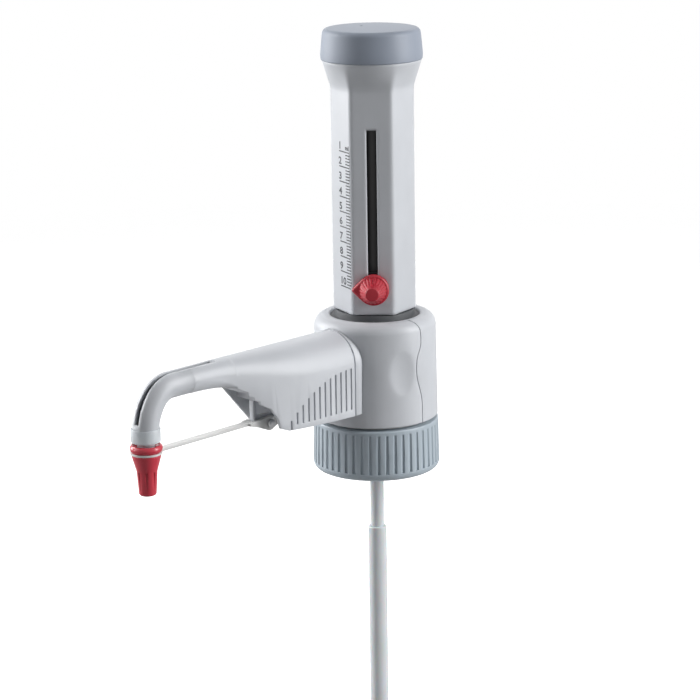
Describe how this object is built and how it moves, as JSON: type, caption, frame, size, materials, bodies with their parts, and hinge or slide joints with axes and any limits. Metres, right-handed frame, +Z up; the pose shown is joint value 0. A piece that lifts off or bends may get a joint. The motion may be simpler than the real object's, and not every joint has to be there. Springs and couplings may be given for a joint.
{
  "type": "bottle top dispenser",
  "caption": "Bottle top dispenser: piston unit over a valve block with discharge arm, tip cap, volume pointer and thread collar.",
  "frame": {"origin": "on the bottle's axis, at the underside of the neck seal, where it rests on the bottle's rim", "axes": "+Z up along the bottle's and the piston's axis, the discharge arm along -Y, +X to the right of the arm seen from its nozzle"},
  "size_m": [0.0552, 0.172, 0.3382],
  "materials": {
    "light_casing": "fine satin moulded plastic",
    "blue_grey": "satin moulded plastic",
    "dark_grey": "matt elastomer",
    "black_guard": "satin moulded plastic",
    "red": "glossy moulded plastic",
    "white_strap": "soft satin plastic",
    "fluoropolymer": "waxy translucent white",
    "white_plastic": "satin",
    "glass": "clear polished",
    "ceramic": "polished ceramic ball",
    "steel": "spring wire and pin"
  },
  "bodies": {
    "collar": {"thread_collar": "blue_grey", "neck_seal": "fluoropolymer"},
    "valve_block": {"retaining_ring": "white_plastic", "valve_body": "white_plastic", "front_shell": "light_casing", "rear_shell": "light_casing", "vent_cap": "light_casing", "filling_valve_seat": "fluoropolymer", "filling_valve_cage": "fluoropolymer", "filling_tube_upper": "fluoropolymer", "cylinder_seal": "fluoropolymer", "glass_cylinder": "glass", "cylinder_guard": "black_guard", "landing_ring": "dark_grey", "coupling_plate": "light_casing", "arm_housing": "light_casing", "discharge_tube": "fluoropolymer", "discharge_valve_body": "white_plastic", "discharge_valve_cap": "white_plastic", "discharge_spring": "steel", "nozzle_sleeve": "fluoropolymer", "strap_clip": "light_casing", "strap_pin": "steel"},
    "filling_ball": {"filling_ball": "ceramic"},
    "discharge_ball": {"discharge_ball": "ceramic"},
    "filling_tube_lower": {"filling_tube_lower": "fluoropolymer"},
    "cap_strap": {"cap_strap": "white_strap"},
    "tip_cap": {"tip_cap": "red"},
    "piston_unit": {"piston_sleeve": "light_casing", "toothed_rack": "black_guard", "rod_carrier": "white_plastic", "calibration_nut": "white_plastic", "lock_nut": "steel", "top_cap": "blue_grey", "piston": "white_plastic", "piston_seals": "fluoropolymer", "piston_rod": "white_plastic"},
    "pointer": {"volume_pointer": "red", "pointer_slider": "black_guard"},
    "thumb_screw": {"thumb_screw": "red"}
  },
  "joints": [
    {"name": "block_swivel", "type": "hinge", "parent": "collar", "child": "valve_block", "pos_m": [0, 0, 0.0047], "axis": [0, 0, 1], "continuous": true},
    {"name": "piston_lift", "type": "slide", "parent": "valve_block", "child": "piston_unit", "axis": [0, 0, 1], "range_m": [0, 0.065]},
    {"name": "pointer_slide", "type": "slide", "parent": "piston_unit", "child": "pointer", "axis": [0, 0, 1], "range_m": [0, 0.0585]},
    {"name": "thumb_screw_turn", "type": "hinge", "parent": "pointer", "child": "thumb_screw", "pos_m": [0.01176, -0.01363, 0.0647], "axis": [0.6534, -0.757, 0], "range_deg": [0, 180]},
    {"name": "cap_strap_swing", "type": "hinge", "parent": "valve_block", "child": "cap_strap", "pos_m": [0, -0.068, 0.0163], "axis": [1, 0, 0], "range_deg": [0, 70]},
    {"name": "tip_cap_turn", "type": "hinge", "parent": "cap_strap", "child": "tip_cap", "pos_m": [0, -0.13427, 0.015], "axis": [0, 0, 1], "continuous": true},
    {"name": "filling_tube_slide", "type": "slide", "parent": "valve_block", "child": "filling_tube_lower", "axis": [0, 0, -1], "range_m": [-0.025, 0.068]},
    {"name": "filling_ball_lift", "type": "slide", "parent": "valve_block", "child": "filling_ball", "axis": [0, 0, 1], "range_m": [0, 0.0015]},
    {"name": "discharge_ball_travel", "type": "slide", "parent": "valve_block", "child": "discharge_ball", "axis": [0, -1, 0], "range_m": [0, 0.0012], "stiffness_N_per_m": 50, "deforming": ["discharge_spring"]}
  ]
}
